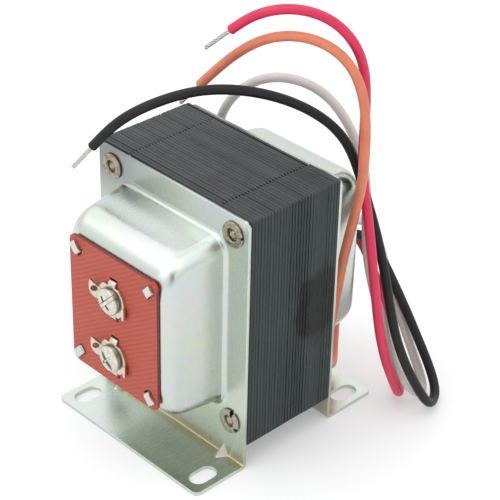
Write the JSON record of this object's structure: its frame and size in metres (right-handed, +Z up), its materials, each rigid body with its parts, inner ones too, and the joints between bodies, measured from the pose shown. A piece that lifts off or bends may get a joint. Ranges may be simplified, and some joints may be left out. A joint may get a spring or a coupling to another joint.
{
  "type": "laminated chassis transformer",
  "caption": "Open-frame chassis transformer: riveted E-I lamination stack between two drawn end bells with slotted feet, a red screw-terminal board and flying leads.",
  "frame": {"origin": "midway between the four foot slots, on the mounting surface that the feet stand on", "axes": "+Z up out of the mounting surface; -X is the terminal board's side, +X the side where the leads leave; Y runs along the feet"},
  "size_m": [0.0858, 0.0739, 0.1132],
  "materials": {
    "zinc_plated_steel": "satin",
    "core_steel": "satin",
    "rivet_metal": "satin",
    "coil_form_nylon": "matte",
    "copper_wire": "satin",
    "insulation_paper": "matte",
    "outer_wrap_paper": "matte",
    "red_fibre_board": "satin",
    "tinned_brass": "satin",
    "nickel_screw": "satin",
    "wire_sleeve": "matte",
    "black_nylon": "satin",
    "black_insulation": "satin",
    "red_insulation": "satin",
    "white_insulation": "satin",
    "orange_insulation": "satin",
    "tinned_strands": "satin"
  },
  "bodies": {
    "root": {"front_end_bell": "zinc_plated_steel", "rear_end_bell": "zinc_plated_steel", "e_laminations": "core_steel", "i_laminations": "core_steel", "core_rivets": "rivet_metal", "coil_form": "coil_form_nylon", "primary_winding": "copper_wire", "winding_insulation": "insulation_paper", "secondary_winding": "copper_wire", "outer_wrap": "outer_wrap_paper", "terminal_board": "red_fibre_board", "upper_terminal": "tinned_brass", "lower_terminal": "tinned_brass", "upper_terminal_screw": "nickel_screw", "lower_terminal_screw": "nickel_screw", "upper_terminal_wire": "wire_sleeve", "lower_terminal_wire": "wire_sleeve", "lead_bushing": "black_nylon", "black_lead": "black_insulation", "red_lead": "red_insulation", "white_lead": "white_insulation", "orange_lead": "orange_insulation", "black_lead_tip": "tinned_strands", "red_lead_tip": "tinned_strands", "white_lead_tip": "tinned_strands", "orange_lead_tip": "tinned_strands"}
  },
  "joints": []
}
